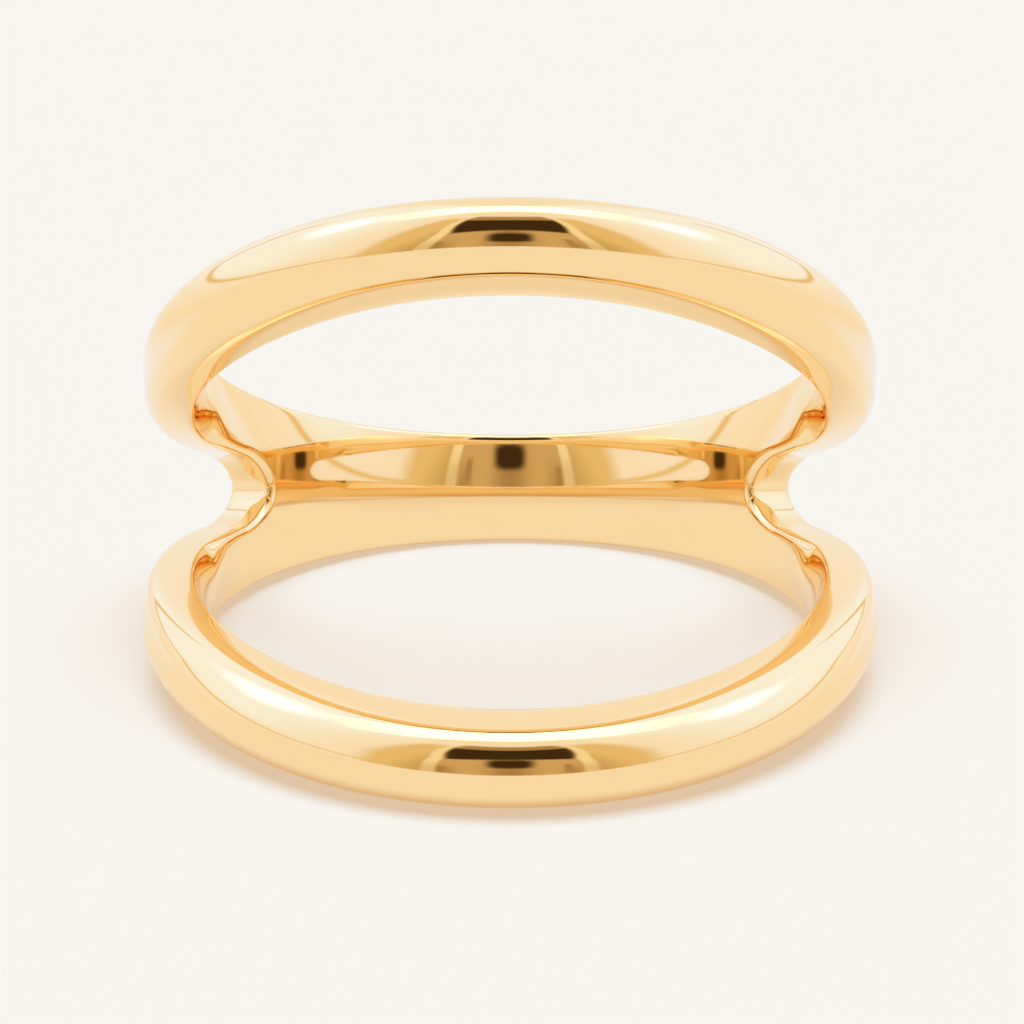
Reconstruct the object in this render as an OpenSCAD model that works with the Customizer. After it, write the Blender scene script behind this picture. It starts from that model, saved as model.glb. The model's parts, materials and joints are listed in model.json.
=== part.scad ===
// Double band ring, lying on its side: two domed bands that stand apart at the front
// and run together into one wall at the back. The front is at -Y and the finger hole's
// axis leans back from +Z. The origin is on the floor, under the middle of the ring.

/* [Finger hole] */
// Diameter of the finger hole at the middle of a band
bore_d = 17.2; // [15:0.1:21]
// Height of the comfort curve across the inside of a band
comfort_rise = 0.26; // [0.1:0.01:0.4]
// Rounding of the inside edges, at the rims and at the front of the gap
edge_r = 0.12; // [0.05:0.01:0.2]

/* [Rims: heights above the ring's middle plane] */
// Outer rim of a band at the front
rim_front = 7.67; // [6.5:0.01:9]
// Outer rim at the side
rim_side = 4.36; // [4:0.01:4.8]
// Outer rim at the shoulder, a third of a turn from the front
rim_shoulder = 2.87; // [2.6:0.01:3.2]
// Outer rim at the back
rim_back = 1.65; // [1.3:0.01:2]

/* [Gap between the bands: heights above the middle plane] */
// Gap side of a band at the front
gap_front = 5.23; // [4:0.01:5.6]
// Gap side of a band at the side
gap_side = 1.93; // [1.6:0.01:2.4]
// Gap side of a band beside the split's end
gap_end = 0.82; // [0.6:0.01:1]

/* [Dome] */
// Depth of the outside dome at the front
dome_front = 1.45; // [1.1:0.01:1.8]
// Depth of the dome at the side
dome_side = 1.33; // [1:0.01:1.7]
// Depth of the dome at the back
dome_back = 1.25; // [1:0.01:1.7]
// Share of a band's width that lies below its crown at the front
crown_front = 0.57; // [0.4:0.01:0.75]
// The same share at the side
crown_side = 0.48; // [0.4:0.01:0.6]
// The same share at the back
crown_back = 0.25; // [0.15:0.01:0.4]
// Share of the dome's depth that stands straight at the rim, at the front
rim_wall = 0.39; // [0.1:0.01:0.5]
// Depth at which the dome below its crown would end, against the depth where it is cut off
run_on = 1.4; // [1.1:0.05:1.8]

/* [Split ends and back wall] */
// Angle from the front at which the split ends
split_end = 124; // [118:0.5:130]
// Length of the split's rounded end
end_length = 1.3; // [0.6:0.1:2]
// How square the metal's edge is at the split's end, from 0 round to 1 square
end_square = 0.9; // [0.7:0.01:0.95]
// Rounding of the outside corner at the split's end
end_corner = 0.25; // [0.1:0.01:0.35]
// Rounding of the inside edge at the split's end
end_edge = 0.3; // [0.1:0.01:0.35]
// Distance over which a band's square gap side turns into a round dome
square_length = 15; // [8:0.1:18]
// Lean of the back wall towards the upper rim
wall_lean = 8; // [0:1:12]

/* [Hidden] */
gold = [0.96, 0.78, 0.47];
bore_r = bore_d / 2;
// Radius of the middle of the metal at the side, where lengths along the ring are measured
wall_r = bore_r + (comfort_rise + edge_r + dome_side) / 2;
// Length along the ring for one degree round it
arc_length = wall_r * PI / 180;
end_angle = end_length / arc_length;
// Distance from the split's end over which a band gains a comfort curve of its own
comfort_length = 4;
// Share of the dome's depth that stands straight at the rim, away from the front
least_wall = 0.05;
// Angle round the ellipse at which the dome below its crown is cut off
foot_angle = acos(1 - 1 / run_on);
// Angles from the front of the stations that the heights are given at
shoulder_angle = 120;
RIM_STATIONS = [cos(0), cos(90), cos(shoulder_angle), cos(180)];
GAP_STATIONS = [cos(0), cos(90), cos(split_end)];
DOME_STATIONS = [cos(0), cos(90), cos(180)];
// Facets: along the front, round each split end and along the back of half a ring
front_steps = 38;
end_steps = 6;
back_steps = 15;
// Length behind the split's end over which the facets straighten out again
straight_length = 4;
// Facets across a band: dome above its crown, dome below it, inside face, inside edges
rim_steps = 6;
gap_steps = 8;
inside_steps = 5;
edge_steps = 2;
// Towards the split's end the dome below the crown turns into an outside, a corner and a face
outside_steps = 3;
corner_steps = 3;
face_steps = gap_steps - outside_steps - corner_steps;
// Rounds of trial that level the ring on the floor
level_tries = 12;

// Weights of a smooth curve through the values given at some stations
function product(list, i = 0) = i == len(list) ? 1 : list[i] * product(list, i + 1);
function weights(c, at) = [for (i = [0 : len(at) - 1])
    product([for (j = [0 : len(at) - 1]) if (j != i) (c - at[j]) / (at[i] - at[j])])];
function through(c, at, values) = weights(c, at) * values;
function smooth(x) = let (t = max(0, min(1, x))) t * t * (3 - 2 * t);
function mix(a, b, share) = (1 - share) * a + share * b;
// Share of a stretch that lies before i, from 0 to 1
function share(i, first, count) = max(0, min(1, (i - first) / count));

// Rows of facets are counted from the front round to the back, with negative ones on the
// left, and lie close together round the split's end
end_row = front_steps + end_steps;
last_row = end_row + back_steps;
rows = [for (row = [1 - last_row : last_row]) row];
// Points across a band, counted from the rim over the dome to the gap side, and back to the
// rim along the finger hole
across = rim_steps + gap_steps + inside_steps + 2 * edge_steps;

// Cross section of the upper half at one row, as points [radius, height, angle]. Behind the
// split's end the gap is closed and the section stops at the middle plane.
function section(row) = let (
    end = share(row, front_steps, end_steps),
    opening = cos(90 * end),
    closing = sin(90 * end),
    even_turn = (split_end - end_angle) * share(row, 0, front_steps) + end_angle * end
        + (180 - split_end) * share(row, end_row, back_steps),
    split_turn = even_turn + end_angle * (closing - end),
    bent = closing * (1 - smooth((split_turn - split_end) * arc_length / straight_length)))
    [for (j = [0 : across - 1]) let (
        on_outside = share(j, rim_steps, outside_steps),
        corner_arc = sin(90 * share(j, rim_steps + outside_steps, corner_steps)),
        on_edge = share(j, rim_steps + gap_steps, edge_steps),
        on_inside = share(j, rim_steps + gap_steps + edge_steps, inside_steps),
        fan = end_corner * (on_outside - corner_arc)
            + end_edge * (pow(on_edge, 2) - smooth(on_inside)),
        turn = mix(even_turn, split_turn, on_outside * pow(1 - on_inside, 2))
            + fan * bent / arc_length)
        section_point(j, turn, opening)];

// One point of a section: where the line across the band starts, and what each of its
// stretches adds
function section_point(j, turn, opening) = let (
    c = cos(turn),
    ahead = (split_end - turn) * arc_length,
    rim = through(c, RIM_STATIONS, [rim_front, rim_side, rim_shoulder, rim_back]),
    gap_line = through(c, GAP_STATIONS, [gap_front, gap_side, gap_end]),
    gap = opening * gap_line,
    crown_share = through(c, DOME_STATIONS, [crown_front, crown_side, crown_back]),
    crown = mix(gap_line, rim, crown_share),
    depth = through(c, DOME_STATIONS, [dome_front, dome_side, dome_back]),
    wall = mix(least_wall, rim_wall, pow(max(0, c), 2)),
    square = mix(1, end_square, opening) * (1 - smooth(ahead / square_length)),
    gap_edge = opening * mix(edge_r, end_edge, share(c, 1, cos(split_end) - 1)),
    middle = smooth(ahead / comfort_length) * (gap_line + rim) / 2,
    half_width = rim - edge_r - middle,
    rim_r = bore_r + comfort_rise + edge_r,
    // The dome: the straight wall at the rim, then above the crown and below it
    a = 90 * share(j, 1, rim_steps - 1),
    b = foot_angle * share(j, rim_steps, gap_steps),
    on_outside = share(j, rim_steps, outside_steps),
    corner_arc = 90 * share(j, rim_steps + outside_steps, corner_steps),
    on_face = share(j, rim_steps + outside_steps + corner_steps, face_steps),
    dome_r = rim_r + depth * wall * min(1, j) + depth * (1 - wall) * sin(a) + mix(
        depth * run_on * (cos(b) - 1),
        end_corner * (cos(corner_arc) - 1) - (depth - end_corner) * on_face, square),
    dome_z = mix(crown, rim, cos(a)) + mix(
        (gap - crown) * sin(b) / sin(foot_angle),
        (gap + end_corner * opening - crown) * on_outside
            - end_corner * opening * sin(corner_arc), square),
    // The rounded gap edge, which runs on from the dome's foot
    s = share(j, rim_steps + gap_steps, edge_steps),
    foot_slope = (1 - square) * (crown - gap) / tan(foot_angle) / (depth * run_on * sin(foot_angle)),
    first_z = gap + gap_edge,
    first_slope = comfort_slope(first_z - middle, half_width),
    first_r = comfort(first_z - middle, half_width),
    bend = first_r - first_slope * gap_edge - rim_r,
    edge_out = 2 * s * (1 - s) * bend + pow(s, 2) * (first_r - rim_r),
    edge_up = 2 * s * (1 - s) * bend * foot_slope * opening + pow(s, 2) * gap_edge,
    // The inside, then the rounded rim edge
    inside_z = mix(first_z, rim - edge_r,
        share(j, rim_steps + gap_steps + edge_steps, inside_steps)),
    inside_out = comfort(inside_z - middle, half_width) - first_r,
    e = share(j, across - edge_steps, edge_steps),
    rim_out = 2 * e * (1 - e) * edge_r * comfort_slope(half_width, half_width)
        + pow(e, 2) * edge_r)
    [dome_r + edge_out + inside_out + rim_out,
     dome_z + edge_up + inside_z - first_z + edge_r * (1 - pow(1 - e, 2)),
     turn];

// Radius and slope of the comfort curve at a distance from the middle of a band's inside
function comfort(z, half_width) = bore_r + comfort_rise * pow(z / half_width, 2);
function comfort_slope(z, half_width) = 2 * comfort_rise * z / pow(half_width, 2);

// A section's points in space; side is 1 for the upper half and -1 for the lower one,
// and the back wall leans
function spread(row, side) = [for (p = section(abs(row))) let (
    turn = sign(row) * p[2],
    lean = tan(wall_lean) * pow(max(0, -cos(turn)), 2),
    r = p[0] - lean * side * p[1])
    [r * sin(turn), -r * cos(turn), side * p[1]]];

upper_points = [for (row = rows) each spread(row, 1)];
lower_points = [for (row = rows) each spread(row, -1)];
points = concat(upper_points, lower_points);
half_count = len(upper_points);

// The two halves share the points that lie on the middle plane
function lower(i) = upper_points[i][2] == 0 ? i : i + half_count;
function off_plane(face) = max([for (i = face) upper_points[i][2]]) > 0;
function corner(i, j) = (i % len(rows)) * across + j % across;
// Each facet is cut across so that neither triangle folds over round the split's end
function halves(a, b, c, d, crosswise) = crosswise ? [[a, b, d], [b, c, d]] : [[a, b, c], [a, c, d]];
function on_dome(j) = j < rim_steps + gap_steps;
upper_faces = [
    for (i = [0 : len(rows) - 1], j = [0 : across - 1],
        face = halves(corner(i, j), corner(i + 1, j), corner(i + 1, j + 1), corner(i, j + 1),
            on_dome(j) == (rows[i] >= 0)))
        if (off_plane(face)) face];
lower_faces = [for (face = upper_faces) [lower(face[2]), lower(face[1]), lower(face[0])]];

// Height of a point once the ring has been tipped forward onto its lower rim
function tipped_z(p, tip) = p[2] * cos(tip) - p[1] * sin(tip);
function tipped_y(p, tip) = p[1] * cos(tip) + p[2] * sin(tip);
function lowest(tip, side) = min([for (p = lower_points) if (p[1] * side > 0) tipped_z(p, tip)]);
function level(tip, tries) = tries == 0 ? tip
    : level(tip + asin((lowest(tip, 1) - lowest(tip, -1)) / (2 * wall_r)), tries - 1);
lying = level(atan((rim_front - rim_back) / (2 * wall_r)), level_tries);
floor_z = lowest(lying, 1);
reach = [for (p = points) tipped_y(p, lying)];
middle_y = (min(reach) + max(reach)) / 2;

module double_band() {
    color(gold)
        translate([0, -middle_y, -floor_z])
            rotate([-lying, 0, 0])
                polyhedron(points, concat(upper_faces, lower_faces));
}

double_band();
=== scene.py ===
import json
import math

import bmesh
import bpy
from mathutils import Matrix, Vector


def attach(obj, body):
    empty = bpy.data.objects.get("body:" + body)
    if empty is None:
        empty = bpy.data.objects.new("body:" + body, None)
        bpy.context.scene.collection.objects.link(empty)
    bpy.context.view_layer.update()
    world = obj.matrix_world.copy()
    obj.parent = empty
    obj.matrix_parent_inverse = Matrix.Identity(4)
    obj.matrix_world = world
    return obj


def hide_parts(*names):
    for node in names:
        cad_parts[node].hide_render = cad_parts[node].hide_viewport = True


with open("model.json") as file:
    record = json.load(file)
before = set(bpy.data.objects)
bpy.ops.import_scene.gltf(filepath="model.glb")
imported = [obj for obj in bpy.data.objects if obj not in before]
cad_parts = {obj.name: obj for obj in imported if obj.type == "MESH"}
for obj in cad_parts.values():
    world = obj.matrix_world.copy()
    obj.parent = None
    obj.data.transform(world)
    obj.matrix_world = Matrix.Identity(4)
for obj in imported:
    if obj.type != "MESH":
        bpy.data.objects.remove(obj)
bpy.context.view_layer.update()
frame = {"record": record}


# The ring is one casting of pale yellow gold: two domed bands that stand apart at the
# front and run together into one wall at the back. Its domes are filed and its inside
# edges rounded, then the whole is buffed round and round to a mirror polish.

# A millimetre in metres
MM = 0.001
# Sizes in millimetres. Heights are above the ring's middle plane.
RING_SIZES = {
    "Hole radius": 8.6,
    "Comfort rise": 0.26,
    "Comfort rise at the back": 0.2,
    "Edge at the rims": 0.12,
    "Gap edge at the front": 0.12,
    "Gap edge at the split's end": 0.3,
    "Rim at the front": 7.67,
    "Rim at the side": 4.36,
    "Rim at the shoulder": 2.87,
    "Rim at the back": 1.65,
    "Gap at the front": 5.23,
    "Gap at the side": 1.93,
    "Gap at its end": 0.82,
    "Dome at the front": 1.45,
    "Dome at the side": 1.33,
    "Dome at the back": 1.25,
    "Crown share at the front": 0.57,
    "Crown share at the side": 0.48,
    "Crown share at the back": 0.25,
    "Wall share at the front": 0.39,
    "Wall share elsewhere": 0.05,
    "Dome runs on to": 1.4,
    "Split end's length": 1.3,
    "Squareness at the split's end": 0.9,
    "Squareness dies out over": 15.0,
    "Comfort curve settles over": 4.0,
    "Corner at the split's end": 0.25,
}
# Angles in degrees from the front
FRONT, SIDE, SHOULDER, SPLIT_END, BACK = 0, 90, 120, 124, 180
# How far the back wall leans towards the upper rim, in degrees
WALL_LEAN = 8
# Facets round half a ring: along the front, round the split's end, along the back
FRONT_STEPS, END_STEPS, BACK_STEPS = 160, 24, 66
HALF_STEPS = FRONT_STEPS + END_STEPS + BACK_STEPS
# Facets across a band: rim side of the dome, gap side in three stretches, then the
# rounded gap edge, the inside and the rounded rim edge
RIM_STEPS, OUTSIDE_STEPS, CORNER_STEPS, FACE_STEPS = 16, 10, 8, 10
GAP_STEPS = OUTSIDE_STEPS + CORNER_STEPS + FACE_STEPS
EDGE_STEPS, INSIDE_STEPS = 6, 20
ACROSS_STEPS = RIM_STEPS + GAP_STEPS + 2 * EDGE_STEPS + INSIDE_STEPS
# Length behind the split's end over which the facets straighten out again
STRAIGHTEN_MM = 4.0
MERGE_MM = 0.0001

finger_hole = next(m for m in frame["record"]["mounts"] if m["name"] == "finger_hole")
RING_CENTRE = tuple(finger_hole["pos_m"])
RING_TIP = math.atan2(finger_hole["axis"][1], finger_hole["axis"][2])

PALE_GOLD = (1.0, 0.765, 0.43, 1)
DEEP_GOLD = (0.985, 0.735, 0.39, 1)
# Grain in millimetres, and how far it is drawn out round the ring
HAIRLINES = {"grain": 0.05, "detail": 2.0, "stretch": 60}
HAND_WAVES = {"grain": 2.2, "detail": 1.0, "stretch": 1}
HAZE = {"grain": 1.1, "detail": 3.0, "stretch": 3}
HAIRLINE_DEPTH, WAVE_DEPTH = 0.00008 * MM, 0.002 * MM
POLISH_ROUGHNESS, HAZE_ROUGHNESS = 0.03, 0.04


class Wire:
    """A value in a node tree. Python's operators on it add Math nodes."""

    def __init__(self, tree, socket=None):
        self.tree = tree
        self.socket = socket

    def add(self, kind, settings=None, feeds=None, out=0):
        """Adds any other node: its settings first, then its sockets' values or links."""
        node = self.tree.nodes.new(kind)
        for name, setting in (settings or {}).items():
            setattr(node, name, setting)
        by_identifier = {s.identifier: s for s in node.inputs}
        for name, value in (feeds or {}).items():
            socket = by_identifier.get(name) or node.inputs[name]
            if isinstance(value, (Wire, list)):
                for wire in value if isinstance(value, list) else [value]:
                    self.tree.links.new(wire.socket, socket)
            else:
                socket.default_value = value
        outputs = {s.identifier: s for s in node.outputs}
        # A tree's last node passes nothing on
        passed_on = outputs.get(out) or (node.outputs[out] if outputs else None)
        return Wire(self.tree, passed_on)

    def calc(self, operation, *values):
        return self.add("ShaderNodeMath", {"operation": operation}, dict(enumerate(values)))

    def vector(self, x, y, z):
        return self.add("ShaderNodeCombineXYZ", feeds={"X": x, "Y": y, "Z": z})

    def parts(self):
        """The X, Y and Z of a vector."""
        split = self.add("ShaderNodeSeparateXYZ", feeds={"Vector": self})
        return [Wire(self.tree, output) for output in split.socket.node.outputs]

    def __add__(self, other):
        return self.calc("ADD", self, other)

    def __radd__(self, other):
        return self.calc("ADD", other, self)

    def __sub__(self, other):
        return self.calc("SUBTRACT", self, other)

    def __rsub__(self, other):
        return self.calc("SUBTRACT", other, self)

    def __mul__(self, other):
        return self.calc("MULTIPLY", self, other)

    def __rmul__(self, other):
        return self.calc("MULTIPLY", other, self)

    def __truediv__(self, other):
        return self.calc("DIVIDE", self, other)

    def __rtruediv__(self, other):
        return self.calc("DIVIDE", other, self)

    def __pow__(self, other):
        return self.calc("POWER", self, other)

    def __neg__(self):
        return self.calc("MULTIPLY", self, -1)

    def __abs__(self):
        return self.calc("ABSOLUTE", self)

    def between(self, low, high):
        return self.calc("MINIMUM", self.calc("MAXIMUM", self, low), high)

    def sine(self):
        return self.calc("SINE", self)

    def cosine(self):
        return self.calc("COSINE", self)


def mix(a, b, share):
    return a + (b - a) * share


def smooth(x):
    """Rises from 0 to 1 without a kink as x goes from 0 to 1."""
    t = x.between(0, 1)
    return t * t * (3 - 2 * t)


def distance(a, b):
    return (a * a + b * b) ** 0.5


def through(c, angles, values):
    """A smooth curve through the values at those angles, in c, the angle's cosine."""
    stations = [math.cos(math.radians(angle)) for angle in angles]
    total = 0
    for i, value in enumerate(values):
        weight = value
        for j, station in enumerate(stations):
            if j != i:
                weight = weight * (c - station) / (stations[i] - station)
        total = weight + total
    return total


def painted(under, over, mask):
    """One colour, with another over it where the mask is 1."""
    return mask.add("ShaderNodeMix", {"data_type": "RGBA"}, {
        "Factor_Float": mask, "A_Color": under, "B_Color": over}, "Result_Color")


def make_material(name, finish):
    """A new material. The finish is a function that adds nodes and returns the shader."""
    material = bpy.data.materials.new(name)
    material.use_nodes = True
    material.node_tree.nodes.clear()
    start = Wire(material.node_tree)
    start.add("ShaderNodeOutputMaterial", feeds={"Surface": finish(start)})
    return material


def polished_gold(start):
    # Millimetres in the ring's own frame, with the finger hole along Z
    in_ring = start.add("ShaderNodeMapping", {"vector_type": "TEXTURE"}, {
        "Vector": start.add("ShaderNodeTexCoord", out="Object"),
        "Location": RING_CENTRE, "Rotation": (-RING_TIP, 0, 0), "Scale": (MM, MM, MM)})
    x, y, z = in_ring.parts()
    radius = distance(x, y)

    def noise(grain, detail, stretch):
        # The radius as a fourth dimension keeps the grain fine across the bands
        fine = 1 / grain
        drawn = start.vector(x * (fine / stretch), y * (fine / stretch), z * fine)
        return start.add("ShaderNodeTexNoise", {"noise_dimensions": "4D"}, {
            "Vector": drawn, "W": radius * fine, "Scale": 1.0, "Detail": detail})

    haze = noise(**HAZE)
    hair_bump = start.add("ShaderNodeBump", feeds={
        "Strength": 1.0, "Distance": HAIRLINE_DEPTH, "Height": noise(**HAIRLINES)})
    wave_bump = start.add("ShaderNodeBump", feeds={
        "Strength": 1.0, "Distance": WAVE_DEPTH, "Height": noise(**HAND_WAVES),
        "Normal": hair_bump})
    return start.add("ShaderNodeBsdfPrincipled", feeds={
        "Base Color": painted(PALE_GOLD, DEEP_GOLD, haze), "Metallic": 1.0,
        "Roughness": POLISH_ROUGHNESS + HAZE_ROUGHNESS * haze, "Normal": wave_bump})


def ring_form(material):
    """Nodes that bend a grid round the finger hole, as one band and its mirror image."""
    tree = bpy.data.node_groups.new("Double band form", "GeometryNodeTree")
    tree.interface.new_socket(
        "Geometry", in_out="OUTPUT", socket_type="NodeSocketGeometry")
    identifiers = {}
    for name in RING_SIZES:
        socket = tree.interface.new_socket(
            name, in_out="INPUT", socket_type="NodeSocketFloat")
        identifiers[name] = socket.identifier
    start = Wire(tree)
    given = start.add("NodeGroupInput").socket.node
    size = {name: Wire(tree, given.outputs[name]) for name in RING_SIZES}

    def sizes(*names):
        return [size[name] for name in names]

    grid = start.add("GeometryNodeMeshGrid", feeds={
        "Vertices X": 2 * HALF_STEPS + 1, "Vertices Y": ACROSS_STEPS + 1}, out="Mesh")
    index = start.add("GeometryNodeInputIndex")
    row = start.calc("FLOOR", index / (ACROSS_STEPS + 1))
    step = index - row * (ACROSS_STEPS + 1)
    from_front = row - HALF_STEPS

    # Angle from the front, close together round the split's end
    hole = size["Hole radius"]
    base = hole + size["Comfort rise"] + size["Edge at the rims"]
    wall_radius = mix(hole, base + size["Dome at the side"], 0.5)
    end_angle = size["Split end's length"] / wall_radius
    split_end = math.radians(SPLIT_END)
    steps = abs(from_front)
    front = (steps / FRONT_STEPS).between(0, 1)
    end = ((steps - FRONT_STEPS) / END_STEPS).between(0, 1)
    back = ((steps - FRONT_STEPS - END_STEPS) / BACK_STEPS).between(0, 1)
    quarter = math.pi / 2
    closing = (end * quarter).sine()
    opening = (end * quarter).cosine()
    even_turn = (split_end - end_angle) * front + end_angle * end \
        + back * (math.pi - split_end)
    split_turn = even_turn + end_angle * (closing - end)

    # The stretches of the section, from the rim over the dome and back through the hole
    def stretch(first, count):
        return ((step - first) / count).between(0, 1)

    on_gap_side = stretch(RIM_STEPS, GAP_STEPS)
    on_outside = stretch(RIM_STEPS, OUTSIDE_STEPS)
    on_corner = stretch(RIM_STEPS + OUTSIDE_STEPS, CORNER_STEPS)
    on_face = stretch(RIM_STEPS + OUTSIDE_STEPS + CORNER_STEPS, FACE_STEPS)
    on_edge = stretch(RIM_STEPS + GAP_STEPS, EDGE_STEPS)
    on_inside = stretch(RIM_STEPS + GAP_STEPS + EDGE_STEPS, INSIDE_STEPS)
    on_rim_edge = stretch(ACROSS_STEPS - EDGE_STEPS, EDGE_STEPS)

    # Round the split's end the rounded edges fan out backwards
    corner = size["Corner at the split's end"]
    end_edge = size["Gap edge at the split's end"]
    corner_arc = (on_corner * quarter).sine()
    fan = (corner * (on_outside - corner_arc)
           + end_edge * (on_edge * on_edge - smooth(on_inside)))
    straight_again = smooth((split_turn - split_end) * wall_radius / STRAIGHTEN_MM)
    near_gap = on_outside * (1 - on_inside) * (1 - on_inside)
    half_turn = mix(even_turn, split_turn, near_gap) \
        + fan * closing * (1 - straight_again) / wall_radius
    turn = half_turn * start.calc("SIGN", from_front)

    # What the section is at that angle
    c = half_turn.cosine()
    ahead = (split_end - half_turn) * wall_radius
    rim = through(c, (FRONT, SIDE, SHOULDER, BACK), sizes(
        "Rim at the front", "Rim at the side", "Rim at the shoulder", "Rim at the back"))
    gap_line = through(c, (FRONT, SIDE, SPLIT_END), sizes(
        "Gap at the front", "Gap at the side", "Gap at its end"))
    crown_share = through(c, (FRONT, SIDE, BACK), sizes(
        "Crown share at the front", "Crown share at the side", "Crown share at the back"))
    depth = through(c, (FRONT, SIDE, BACK), sizes(
        "Dome at the front", "Dome at the side", "Dome at the back"))
    gap = opening * gap_line
    crown = mix(gap_line, rim, crown_share)
    # Towards the back the comfort curve flattens and the rim's edge grows by as much
    behind = (-c).between(0, 1)
    flatter = behind * behind * (size["Comfort rise"] - size["Comfort rise at the back"])
    rise = size["Comfort rise"] - flatter
    rim_edge = size["Edge at the rims"] + flatter
    square = mix(1, size["Squareness at the split's end"], opening) \
        * (1 - smooth(ahead / size["Squareness dies out over"]))
    gap_edge = mix(size["Gap edge at the front"], end_edge,
                   ((1 - c) / (1 - math.cos(split_end))).between(0, 1))
    settled = smooth(ahead / size["Comfort curve settles over"])
    middle = settled * (gap_line + rim) / 2
    half_width = rim - rim_edge - middle

    def comfort(height):
        from_middle = (height - middle) / half_width
        return hole + rise * from_middle * from_middle

    def comfort_slope(height):
        return 2 * rise * (height - middle) / (half_width * half_width)

    # A point's place is where the section's line starts and what each stretch adds to it.
    # The rim side is a short straight wall and a quarter of an ellipse.
    facing = c.between(0, 1)
    wall = mix(size["Wall share elsewhere"], size["Wall share at the front"],
               facing * facing)
    rim_arc = stretch(1, RIM_STEPS - 1) * quarter
    radius = base + depth * wall * step.between(0, 1) \
        + depth * (1 - wall) * rim_arc.sine()
    height = mix(crown, rim, rim_arc.cosine())

    # The gap side is cut off before its ellipse ends, and turns square towards the
    # split's end
    run_on = size["Dome runs on to"]
    foot = start.calc("ARCCOSINE", 1 - 1 / run_on)
    gap_arc = on_gap_side * foot
    round_radius = depth * run_on * (gap_arc.cosine() - 1)
    round_height = (gap - crown) * gap_arc.sine() / foot.sine()
    square_radius = corner * ((on_corner * quarter).cosine() - 1) \
        - (depth - corner) * on_face
    square_height = (gap + corner * opening - crown) * on_outside \
        - corner * opening * corner_arc
    radius = radius + mix(round_radius, square_radius, square)
    height = height + mix(round_height, square_height, square)

    def edge(share, heading, way):
        """A rounded edge's share of its way, when it sets out along the heading."""
        return 2 * share * (1 - share) * heading + share * share * way

    foot_slope = (1 - square) * (crown - gap) * foot.cosine() \
        / (foot.sine() * foot.sine() * depth * run_on)
    first_height = gap + gap_edge * opening
    first_inside = comfort(first_height)
    bend = first_inside - comfort_slope(first_height) * gap_edge * opening - base
    radius = radius + edge(on_edge, bend, first_inside - base)
    height = height + opening * edge(on_edge, bend * foot_slope, gap_edge)

    inside = mix(first_height, rim - rim_edge, on_inside)
    radius = radius + comfort(inside) - first_inside
    height = height + inside - first_height

    rim_bend = rim_edge * comfort_slope(rim - rim_edge)
    radius = radius + edge(on_rim_edge, rim_bend, rim_edge)
    height = height + edge(on_rim_edge, rim_edge, rim_edge)

    bent = start.add("GeometryNodeSetPosition", feeds={
        "Geometry": grid,
        "Position": start.vector(radius * turn.sine(), -(radius * turn.cosine()), height)})
    # Behind the split the two halves share the middle plane, so nothing lies on it
    x, y, z = start.add("GeometryNodeInputPosition").parts()
    open_half = start.add("GeometryNodeDeleteGeometry", {"domain": "FACE"}, {
        "Geometry": bent, "Selection": start.calc("LESS_THAN", z, MERGE_MM)})
    mirrored = start.add("GeometryNodeTransform", feeds={
        "Geometry": open_half, "Scale": (1, 1, -1)})
    turned_out = start.add("GeometryNodeFlipFaces", feeds={"Mesh": open_half})
    both = start.add("GeometryNodeJoinGeometry", feeds={"Geometry": [turned_out, mirrored]})
    closed = start.add("GeometryNodeMergeByDistance", feeds={
        "Geometry": both, "Distance": MERGE_MM})

    # The back wall leans towards the upper rim
    out = distance(x, y)
    to_back = (y / out).between(0, 1)
    lean = -(to_back * to_back * z * math.tan(math.radians(WALL_LEAN)))
    leaning = start.add("GeometryNodeSetPosition", feeds={
        "Geometry": closed, "Offset": start.vector(lean * x / out, lean * y / out, 0)})
    lying = start.add("GeometryNodeTransform", feeds={
        "Geometry": leaning, "Translation": RING_CENTRE, "Rotation": (-RING_TIP, 0, 0),
        "Scale": (MM, MM, MM)})
    rounded = start.add("GeometryNodeSetShadeSmooth", feeds={"Geometry": lying})
    plain = start.add("GeometryNodeRealizeInstances", feeds={"Geometry": rounded})
    golden = start.add("GeometryNodeSetMaterial", feeds={
        "Geometry": plain, "Material": material})
    start.add("NodeGroupOutput", feeds={"Geometry": golden})
    return tree, identifiers


def add_object(name, data):
    thing = bpy.data.objects.new(name, data)
    bpy.context.scene.collection.objects.link(thing)
    return thing


form, form_inputs = ring_form(make_material("polished_yellow_gold", polished_gold))
ring = add_object("double_band_ring", bpy.data.meshes.new("double_band_ring"))
shaping = ring.modifiers.new("Ring form", "NODES")
shaping.node_group = form
for size_name, size_mm in RING_SIZES.items():
    shaping[form_inputs[size_name]] = size_mm
shaped = ring.evaluated_get(bpy.context.evaluated_depsgraph_get())
ring_mesh = bpy.data.meshes.new_from_object(shaped)
ring.modifiers.clear()
ring.data = ring_mesh
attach(ring, "root")
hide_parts("double_band")


# The floor is a wide sheet of pale matt paper before a backdrop of the same tone. Plain
# soft light falls from overhead, and a warm fill that casts no shadow keeps shadows faint.
FLOOR_SIZE = 6.0
PAPER = (0.942, 0.917, 0.866, 1)
PAPER_ROUGHNESS, PAPER_GLOSS = 0.9, 0.1
# Light on the floor from each, as shares of white
OVERHEAD_LIGHT, FILL_LIGHT = (0.17, 0.36, 0.54), (0.83, 0.64, 0.46)
# In degrees; it comes from a little in front
OVERHEAD_SPREAD, OVERHEAD_TILT = 46, 9


def flat_sheet(name, sides, ends, height):
    """A rectangle that lies flat: its two sides in x, its two ends in y."""
    mesh = bpy.data.meshes.new(name)
    (left, right), (near, far) = sides, ends
    corners = [(left, near), (right, near), (right, far), (left, far)]
    mesh.from_pydata([(x, y, height) for x, y in corners], [], [(0, 1, 2, 3)])
    return mesh


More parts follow.
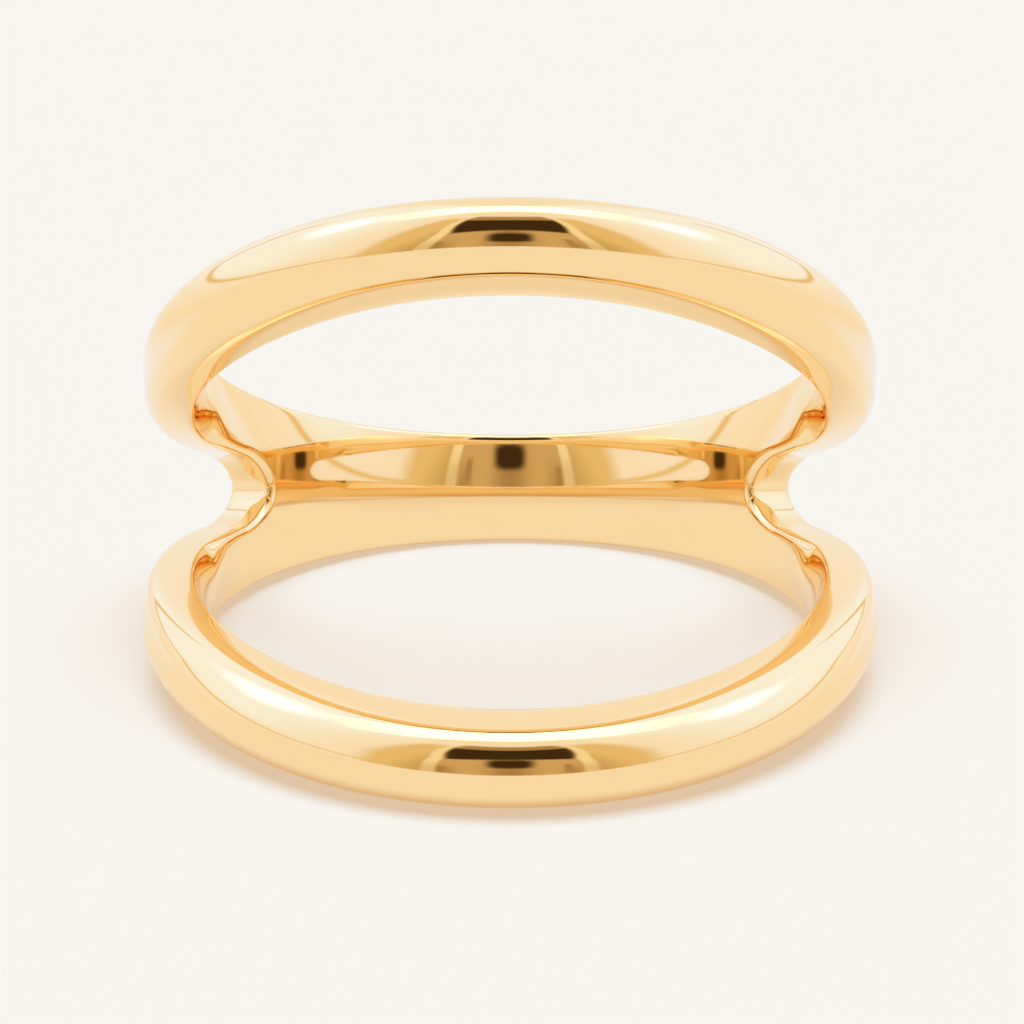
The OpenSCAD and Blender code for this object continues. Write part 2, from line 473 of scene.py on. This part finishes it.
floor_reach = (-FLOOR_SIZE / 2, FLOOR_SIZE / 2)
floor = add_object("floor", flat_sheet("floor", floor_reach, floor_reach, 0))
paper = bpy.data.materials.new("matt_paper")
paper.use_nodes = True
paper_shader = paper.node_tree.nodes["Principled BSDF"]
paper_shader.inputs["Base Color"].default_value = PAPER
paper_shader.inputs["Roughness"].default_value = PAPER_ROUGHNESS
paper_shader.inputs["Specular IOR Level"].default_value = PAPER_GLOSS
floor.data.materials.append(paper)

world = bpy.data.worlds.new("backdrop")
world.use_nodes = True
world.node_tree.nodes["Background"].inputs["Color"].default_value = PAPER
world.cycles_visibility.diffuse = False
bpy.context.scene.world = world
bpy.context.scene.view_settings.view_transform = "Standard"

for lamp_name, shares, casts_shadow in (
        ("overhead", OVERHEAD_LIGHT, True), ("fill", FILL_LIGHT, False)):
    lamp_data = bpy.data.lights.new(lamp_name, "SUN")
    lamp_data.angle = math.radians(OVERHEAD_SPREAD)
    # A white floor sends back a share of 1 when this much falls on it
    lamp_data.energy = math.pi / math.cos(math.radians(OVERHEAD_TILT))
    lamp_data.color = shares
    lamp_data.use_shadow = casts_shadow
    lamp = add_object(lamp_name, lamp_data)
    lamp.rotation_euler = (math.radians(OVERHEAD_TILT), 0, 0)
    lamp.visible_glossy = False


# Round the ring stands a tent of white cloth. A tan screen with side flaps closes its
# front below a dark opening, and a strip light hangs over the ring. All of it glows and
# shows in the gold alone, as painted reflections, so it takes no part in lighting the
# floor.
TENT_CENTRE = (0, -9 * MM, 8 * MM)
TENT_RADIUS = 160 * MM
TENT_SEGMENTS, TENT_RINGS = 96, 48

# All places on the tent are angles in degrees as seen from the ring: the turn from the
# front, to either side where it has no sign, and the height above the floor. A SOFT is
# the width of a blurred edge, and an OVER is the way along which something comes or goes.

# White cloth, neutral at the front and back, with painted cool light along the sides
CLOTH_FRONT, SIDE_COOL_GLOW = (0.95, 0.95, 0.98, 1), (0.97, 1.12, 1.5, 1)
COOL_TURN, COOL_OVER, COOL_HEIGHT = 48, 45, 18
BACK_TURN, BACK_OVER = 150, 20
# The seam rises along the sides and turns up where the back cloth begins
SEAM = (0.84, 0.65, 0.34, 1)
SEAM_TURNS, SEAM_OVER = (35, 145), 8
SEAM_HEIGHTS, SEAM_SOFT = (0, 2.2), 2
SEAM_RISE, SEAM_RISE_TURN, SEAM_RISE_OVER = 10, 50, 90
UPRIGHT_TURNS, UPRIGHT_SOFT = (144.5, 147.5), 2.5
UPRIGHT_HEIGHTS = (11, 34)
# The flaps stand either side of the screen, with painted shade towards it and towards the
# floor
FLAP, FLAP_SHADED = (0.81, 0.63, 0.33, 1), (0.6, 0.43, 0.19, 1)
FLAP_END, FLAP_HIGH, FLAP_SOFT = 46, 67, 9
FLAP_LIT_TURN, FLAP_LIT_OVER, FLAP_LIT_HEIGHT = 27, 14, 80
# Between screen and flap a fold leans outwards, with a painted highlight along it that is
# faint at its foot
FOLD_HIGHLIGHT = (0.95, 0.86, 0.62, 1)
FOLD_TURN, FOLD_WIDTH, FOLD_SOFT = 25.2, (-2.2, 2.2), 1.6
FOLD_LEAN, LEAN_HEIGHT, LEAN_OVER = 6, 35, 30
FOLD_FOOT, FOLD_FOOT_HEIGHT, FOLD_FOOT_OVER = 0.5, 5, 25
# The screen has painted shade down its middle and at the outer corners of its foot
TAN, TAN_DARK = (0.64, 0.45, 0.22, 1), (0.42, 0.27, 0.11, 1)
SCREEN_TURN, SCREEN_SOFT = 22, 2.5
SCREEN_HIGH, SCREEN_HIGH_SOFT = 42, 6
SCREEN_MIDDLE = 12
CORNER_SHADE, CORNER_TURN, CORNER_SOFT, CORNER_HEIGHT = 0.7, 17, 6, 26
# The dark opening sags at its outer ends and is wider at its top
DARK = (0.05, 0.029, 0.011, 1)
OPENING_LOW, OPENING_HIGH, OPENING_SOFT = 38, 64, 5
OPENING_SAG, OPENING_WIDENS = 5, 7
# A dark tan valance hangs above the opening, and over it is the ceiling
VALANCE_TURN, VALANCE_HIGH, VALANCE_SOFT = 29, 72, 6
CEILING = (0.95, 0.92, 0.87, 1)
CEILING_LOW, CEILING_SOFT = 76, 10
# Two small dark clips at the screen's foot: turns and heights
CLIPS = ((-22.5, -20), (-2, 14)), ((17, 19.5), (2, 20))
CLIP_SOFT, CLIP_OVER = 1.5, 6
# The strip light runs from side to side. Its place is told from the front over the top.
STRIP = (2.4, 2.35, 2.2, 1)
STRIP_PLACE, STRIP_SOFT = (87, 107), 3
STRIP_REACH, STRIP_OVER = 22, 24
# Two cool lamps stand behind the cloth of the sides: turns and heights
LAMP = (1.3, 1.6, 2.5, 1)
LAMPS = ((-128, -100), (40, 56)), ((92, 116), (40, 56))
LAMP_SOFT, LAMP_OVER = 20, 14


def rising(value, edge, over):
    """Rises from 0 to 1 as the value goes on from the edge."""
    return smooth((value - edge) / over)


def past(value, edge, soft):
    """Rises from 0 to 1 across a soft edge."""
    return rising(value, edge - soft / 2, soft)


def within(value, span, soft):
    low, high = span
    return past(value, low, soft) * (1 - past(value, high, soft))


def glow(start, colour):
    return start.add("ShaderNodeEmission", feeds={"Color": colour, "Strength": 1.0})


def glowing_tent_cloth(start):
    place = start.add("ShaderNodeTexCoord", out="Object")
    x, y, z = (part - middle for part, middle in zip(place.parts(), TENT_CENTRE))

    def degrees(up, along):
        return start.calc("ARCTAN2", up, along) * math.degrees(1)

    turn = degrees(x, -y)
    aside = abs(turn)
    above = degrees(z, distance(x, y))
    over_top = degrees(z, -y)
    sideways = abs(degrees(x, distance(y, z)))

    def patches(places, soft, over):
        return sum(within(turn, turns, soft) * within(above, heights, over)
                   for turns, heights in places)

    # Painted cool light along the sides of the cloth
    cool_glow = rising(aside, COOL_TURN, COOL_OVER) * smooth(above / COOL_HEIGHT) \
        * (1 - rising(aside, BACK_TURN, BACK_OVER))
    colour = painted(CLOTH_FRONT, SIDE_COOL_GLOW, cool_glow)

    seam_foot = SEAM_RISE * rising(aside, SEAM_RISE_TURN, SEAM_RISE_OVER)
    seam = within(above - seam_foot, SEAM_HEIGHTS, SEAM_SOFT) \
        * within(aside, SEAM_TURNS, SEAM_OVER)
    upright = within(aside, UPRIGHT_TURNS, UPRIGHT_SOFT) \
        * within(above, UPRIGHT_HEIGHTS, SEAM_OVER)
    colour = painted(colour, SEAM, seam + upright)

    # Painted shade on the flaps, deeper towards the screen and towards the floor
    flap = painted(FLAP_SHADED, FLAP, smooth(
        (aside - FLAP_LIT_TURN) / FLAP_LIT_OVER + above / FLAP_LIT_HEIGHT))
    below_flap_top = 1 - past(above, FLAP_HIGH, FLAP_SOFT)
    colour = painted(colour, flap, (1 - past(aside, FLAP_END, FLAP_SOFT)) * below_flap_top)

    lean = ((above - LEAN_HEIGHT) / LEAN_OVER).between(0, 1)
    fold_turn = FOLD_TURN + FOLD_LEAN * lean
    # A painted highlight along the fold, fainter at its foot
    fold_highlight = within(aside - fold_turn, FOLD_WIDTH, FOLD_SOFT) * below_flap_top
    highlight_strength = FOLD_FOOT + (1 - FOLD_FOOT) * rising(above, FOLD_FOOT_HEIGHT, FOLD_FOOT_OVER)
    colour = painted(colour, FOLD_HIGHLIGHT, fold_highlight * highlight_strength)

    # Painted shade down the screen's middle and at the outer corners of its foot
    corner_shade = CORNER_SHADE * past(aside, CORNER_TURN, CORNER_SOFT) \
        * (1 - smooth(above / CORNER_HEIGHT))
    screen = painted(TAN_DARK, TAN, smooth(aside / SCREEN_MIDDLE) * (1 - corner_shade))
    colour = painted(colour, screen, (1 - past(aside, SCREEN_TURN, SCREEN_SOFT))
                     * (1 - past(above, SCREEN_HIGH, SCREEN_HIGH_SOFT)))

    low = OPENING_LOW - OPENING_SAG * (aside / SCREEN_TURN) ** 2
    opening_turn = SCREEN_TURN + OPENING_WIDENS * lean
    opening = past(above, low, OPENING_SOFT) \
        * (1 - past(aside, opening_turn, SCREEN_SOFT)) \
        * (1 - past(above, OPENING_HIGH, OPENING_SOFT))
    colour = painted(colour, DARK, opening)

    valance = within(above, (OPENING_HIGH, VALANCE_HIGH), VALANCE_SOFT) \
        * (1 - past(aside, VALANCE_TURN, VALANCE_SOFT))
    colour = painted(colour, TAN_DARK, valance)
    colour = painted(colour, CEILING, past(above, CEILING_LOW, CEILING_SOFT))
    colour = painted(colour, TAN_DARK, patches(CLIPS, CLIP_SOFT, CLIP_OVER))
    strip = within(over_top, STRIP_PLACE, STRIP_SOFT) \
        * (1 - past(sideways, STRIP_REACH, STRIP_OVER))
    colour = painted(colour, STRIP, strip)
    colour = painted(colour, LAMP, patches(LAMPS, LAMP_SOFT, LAMP_OVER))
    # The cloth glows: its colours are painted light, seen only in the gold
    return glow(start, colour)


def put_up(name, mesh, material_name, finish):
    """Adds a piece that glows in the gold's reflections and shows nowhere else."""
    material = make_material(material_name, finish)
    material.cycles.emission_sampling = "NONE"
    mesh.materials.append(material)
    card = add_object(name, mesh)
    card.visible_camera = False
    card.visible_diffuse = False
    card.visible_transmission = False
    card.visible_volume_scatter = False
    card.visible_shadow = False


tent_mesh = bpy.data.meshes.new("tent")
cloth = bmesh.new()
bmesh.ops.create_uvsphere(
    cloth, u_segments=TENT_SEGMENTS, v_segments=TENT_RINGS, radius=TENT_RADIUS)
bmesh.ops.translate(cloth, vec=TENT_CENTRE, verts=cloth.verts)
cloth.to_mesh(tent_mesh)
cloth.free()
put_up("tent", tent_mesh, "glowing_tent_cloth", glowing_tent_cloth)
# A reflection in the deep corners beside the split takes many turns
bpy.context.scene.cycles.glossy_bounces = 12
# Nor does the gold throw its reflections on to the floor
bpy.context.scene.cycles.caustics_reflective = False


# Two cool white cards lie on the floor, left and right behind the ring. They glow, and
# show in the gold alone as a painted reflection: the cool tone of its outer sides. Both are
# painted on one clear sheet.
CARD_GLOW = (0.93, 1.0, 1.2, 1)
CARD_REACH, CARD_HEIGHT = 60 * MM, 0.05 * MM
CARD_START, CARD_SOFT = 11.5 * MM, 5 * MM
CARD_FRONT, CARD_FRONT_SOFT = -2.8 * MM, 14 * MM
CARD_FADE = 30 * MM


def glow_within(mask, colour):
    """Glows where the mask is 1 and is clear where it is 0."""
    clear = mask.add("ShaderNodeBsdfTransparent")
    return mask.add("ShaderNodeMixShader", feeds={
        "Fac": mask, 1: clear, 2: glow(mask, colour)})


def glowing_card_paper(start):
    """Glowing white paper that starts outside the ring, behind its front."""
    x, y = start.add("ShaderNodeTexCoord", out="Object").parts()[:2]
    out = distance(x, y)
    mask = rising(out, CARD_START, CARD_SOFT) \
        * (1 - rising(out, CARD_FADE, CARD_REACH - CARD_FADE)) \
        * rising(y, CARD_FRONT, CARD_FRONT_SOFT) * smooth(abs(x) / CARD_START)
    # Glows as a painted reflection in the gold's outer sides
    return glow_within(mask, CARD_GLOW)


card_mesh = flat_sheet(
    "side_cards", (-CARD_REACH, CARD_REACH), (-CARD_SOFT, CARD_REACH), CARD_HEIGHT)
put_up("side_cards", card_mesh, "glowing_card_paper", glowing_card_paper)


# The camera stands 8 cm in front of the ring and looks down on it by 20 degrees. A long
# lens lets the small ring fill the picture.
CAMERA_PLACE = (0.056 * MM, -79.1 * MM, 32.77 * MM)
CAMERA_PITCH = 19.75
CAMERA_LENS, CAMERA_SENSOR = 105.84, 36

camera_data = bpy.data.cameras.new("camera")
camera_data.lens = CAMERA_LENS
camera_data.sensor_width = CAMERA_SENSOR
camera_data.clip_start = MM
camera = add_object("camera", camera_data)
camera.location = CAMERA_PLACE
camera.rotation_euler = (math.radians(90 - CAMERA_PITCH), 0, 0)
bpy.context.scene.camera = camera


# The front of the camera is a dark block with round corners, painted on a clear disc that
# faces the ring. It shows in the gold alone, as a small dark spot in the back wall.
LENS_WIDTH, LENS_HEIGHT = 18.5 * MM, 30 * MM
# How far its middle is above the camera's own
LENS_RISE = 5 * MM
# In shares of its half width and half height
LENS_FADE, LENS_FADE_OVER, DISC_REACH = 0.7, 0.6, 1.6
DISC_SEGMENTS = 64
LENS_PLACE = tuple(camera.matrix_basis @ Vector((0, LENS_RISE, 0)))


def lens_front(start):
    in_lens = start.add("ShaderNodeMapping", {"vector_type": "TEXTURE"}, {
        "Vector": start.add("ShaderNodeTexCoord", out="Object"), "Location": LENS_PLACE,
        "Rotation": camera.rotation_euler, "Scale": (LENS_WIDTH / 2, LENS_HEIGHT / 2, 1)})
    x, y = in_lens.parts()[:2]
    # A line of equal distance is a rectangle with round corners
    from_middle = distance(x * x, y * y) ** 0.5
    return glow_within(1 - rising(from_middle, LENS_FADE, LENS_FADE_OVER), DARK)


disc_mesh = bpy.data.meshes.new("lens_front")
disc = bmesh.new()
bmesh.ops.create_circle(
    disc, cap_ends=True, segments=DISC_SEGMENTS, radius=DISC_REACH * LENS_HEIGHT / 2)
bmesh.ops.transform(disc, matrix=camera.matrix_basis, verts=disc.verts)
bmesh.ops.translate(disc, vec=Vector(LENS_PLACE) - camera.location, verts=disc.verts)
disc.to_mesh(disc_mesh)
disc.free()
put_up("lens_front", disc_mesh, "lens_front", lens_front)
